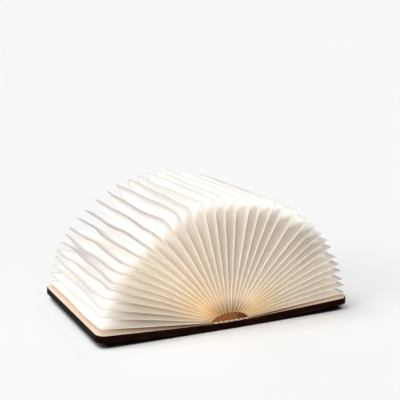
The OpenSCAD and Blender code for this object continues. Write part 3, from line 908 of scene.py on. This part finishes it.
def joint_outline():
    """The joint leather's outline, seen along the spine: flat under the spine's edge, along the cover's
    underside and back, up the gap as an arc round the cover's round edge, and down the spine's side."""
    along_cover = np.array([math.cos(tilt), math.sin(tilt)])
    off_cover = np.array([-along_cover[1], along_cover[0]])
    axis = np.array([hinge_x, hinge_z])
    outer_r = edge_r - joint_lift
    inner_r = outer_r - joint_t + fit_gap
    along = np.linspace(0, joint_on_cover - fit_gap, 9)[:, None]
    start_x = spine_half - joint_on_spine + fit_gap
    under = np.stack([np.linspace(start_x, hinge_x, 14, endpoint=False), np.full(14, joint_lift)], -1)
    outer_line = np.concatenate([under, axis + along * along_cover - outer_r * off_cover])
    inner_line = axis + along[::-1] * along_cover - inner_r * off_cover
    turn = np.radians(np.linspace(roll_start, roll_end, 14))
    roll = axis + (edge_r + roll_gap) * np.stack([np.cos(turn), np.sin(turn)], -1)
    roll_x, roll_z = roll[-1]
    crown = np.array([[roll_x - 0.45, roll_z + 0.12], [spine_half + 0.25, roll_z],
                      [spine_half + fit_gap, roll_z - 0.25]])
    back = np.array([[spine_half + fit_gap, strip_rise], [spine_half + fit_gap, strip_inner],
                     [start_x, strip_inner]])
    return np.concatenate([outer_line, inner_line, roll, crown, back])


def joint_strip(side):
    """The joint leather: its outline carried along Y."""
    s = SIDES[side]
    outline = joint_outline()
    ys = np.linspace(-half_depth + joint_lift, half_depth - joint_lift, 30)[:, None]
    points = np.stack([s * outline[:, 0] + 0 * ys, ys + 0 * outline[:, 0], outline[:, 1] + 0 * ys], -1)
    strip = grid_piece(f"{side}_joint_strip", points, {"edge": 0.15}, closed=True, caps=True,
                       flip=side == "left", crease=40)
    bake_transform(strip)
    return strip


for side in SIDES:
    skin = dress(cover_skin(side), cover_leather)
    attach(skin, f"{side}_cover")
    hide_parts(f"{side}_cover_wrap")
    strip = dress(joint_strip(side), cover_leather)
    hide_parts(f"{side}_joint_leather")


# ==== Floor and light ===============================================================================

BACKGROUND = 0.939           # tone of the background, and of the floor where it is fully lit
FILL = 0.45                  # light from all round
# Far, wide lamps: name, where the light comes from, its level on a surface square to it, spread, colour
LAMPS = (
    ("key", (-0.45, 0.05, 0.9), 0.47, 40, (1.0, 1.0, 1.0)),
    ("side", (-0.95, -0.1, 0.3), 0.33, 40, (1.0, 0.98, 0.96)),
    ("front", (-0.3, -0.9, 0.35), 0.25, 50, (1.0, 0.96, 0.90)),
)
FLOOR_HALF = 6.0             # metres
CONTACT_REACH = 14 * MM      # how far round a touching piece the floor gets painted shadow
CONTACT_SHADOW_TONE = (0.02, 0.018, 0.016)                  # painted shadow of the floor right under an edge
BRIGHT_SIDE = {"X": -0.8, "Y": 0.5, "Z": 0.33}       # the way toward which the floor beside the book keeps clear of painted shadow
PAINTED_LIGHT_GAIN = 0.5            # how much painted light makes it paler there at most


def make_floor():
    """A wide floor of the colour that the lamps bring up to the background's tone. It has a nearly black
    painted shadow where the book stands close above it, unless it lies open toward the bright side, where
    painted light makes it a little paler."""
    mesh = bpy.data.meshes.new("floor")
    corners = [(x * FLOOR_HALF, y * FLOOR_HALF, 0) for x, y in ((-1, -1), (1, -1), (1, 1), (-1, 1))]
    mesh.from_pydata(corners, [], [(0, 1, 2, 3)])
    floor = link("floor", mesh)
    light = np.full(3, FILL)
    for _, direction, level, _, colour in LAMPS:
        light += level * Vector(direction).normalized().z * np.array(colour)
    material, tree, shader = new_material("floor", Roughness=1.0, Specular_IOR_Level=0.0)
    sight = {"Distance": CONTACT_REACH}
    above = put(tree, "ShaderNodeAmbientOcclusion", sight, samples=16).outputs["AO"]
    sideways = put(tree, "ShaderNodeCombineXYZ", BRIGHT_SIDE).outputs[0]
    beside = put(tree, "ShaderNodeAmbientOcclusion", {**sight, "Normal": sideways}, samples=16).outputs["AO"]
    clear = larger(tree, spread(tree, above, 0.3, 0.5), spread(tree, beside, 0.6, 0.9))
    colour = blend_colour(tree, clear, rgba(CONTACT_SHADOW_TONE), rgba(BACKGROUND / light))
    # Painted light: the floor is made paler where it lies open toward the bright side.
    lift = times(tree, spread(tree, beside, 0.8, 0.97), rest_of(tree, above))
    painted_floor_colour = scaled(tree, colour, plus(tree, times(tree, lift, PAINTED_LIGHT_GAIN), 1.0))
    feed(tree, shader.inputs["Base Color"], painted_floor_colour)
    mesh.materials.append(material)


def make_world():
    """Pale background seen by the camera and in reflections, and an even grey light for the rest."""
    world = bpy.data.worlds.new("studio")
    bpy.context.scene.world = world
    world.use_nodes = True
    tree = world.node_tree
    seen = put(tree, "ShaderNodeBackground", {"Color": rgba((BACKGROUND,) * 3), "Strength": 1.0})
    fill = put(tree, "ShaderNodeBackground", {"Color": rgba((FILL,) * 3), "Strength": 1.0})
    rays = put(tree, "ShaderNodeLightPath").outputs
    shiny = larger(tree, rays["Is Glossy Ray"], rays["Is Transmission Ray"])
    clear = larger(tree, rays["Is Camera Ray"], shiny)
    choice = put(tree, "ShaderNodeMixShader", {0: clear, 1: fill.outputs[0], 2: seen.outputs[0]})
    feed(tree, tree.nodes["World Output"].inputs["Surface"], choice.outputs[0])


def make_lamp(name, direction, level, spread_deg, colour):
    """A far lamp that lights a white surface square to it up to the level."""
    data = bpy.data.lights.new(name, "SUN")
    data.energy = math.pi * level
    data.angle = math.radians(spread_deg)
    data.color = colour
    lamp = bpy.data.objects.new(name, data)
    lamp.rotation_mode = "QUATERNION"
    lamp.rotation_quaternion = (-Vector(direction)).to_track_quat("-Z", "Y")
    bpy.context.scene.collection.objects.link(lamp)


make_floor()
make_world()
for lamp_values in LAMPS:
    make_lamp(*lamp_values)

bpy.context.scene.view_settings.view_transform = "Standard"
